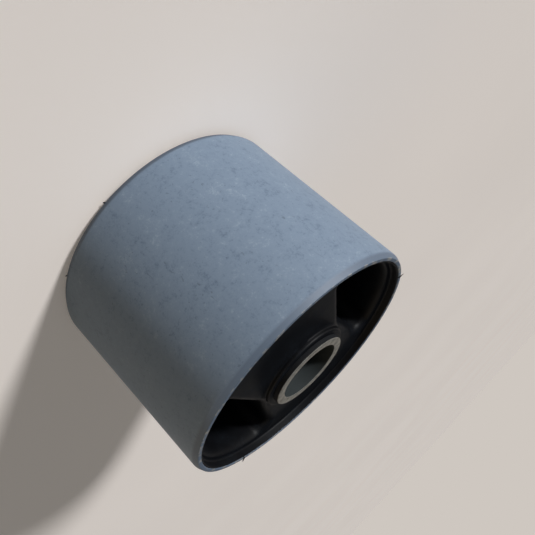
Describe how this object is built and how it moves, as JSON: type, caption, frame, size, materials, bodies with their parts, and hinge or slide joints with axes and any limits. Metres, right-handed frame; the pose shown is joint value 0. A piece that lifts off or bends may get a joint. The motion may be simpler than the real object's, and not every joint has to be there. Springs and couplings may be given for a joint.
{
  "type": "cab bushing",
  "caption": "Rubber-metal cab bushing: steel outer sleeve, thick steel inner sleeve, and a bonded rubber body with flared spokes and open voids.",
  "frame": {"origin": "centre of the bore at mid length", "axes": "+Z along the bore; the rubber spokes lie along +Y and -Y, the open voids along +X and -X"},
  "size_m": [0.085, 0.085, 0.0654],
  "materials": {
    "phosphated_steel": "matte blue-grey phosphate coating",
    "bare_steel": "bare machined steel, lightly tarnished",
    "black_rubber": "moulded natural rubber, satin"
  },
  "bodies": {
    "root": {"outer_sleeve": "phosphated_steel", "inner_sleeve": "bare_steel", "rubber_body": "black_rubber"}
  },
  "joints": []
}
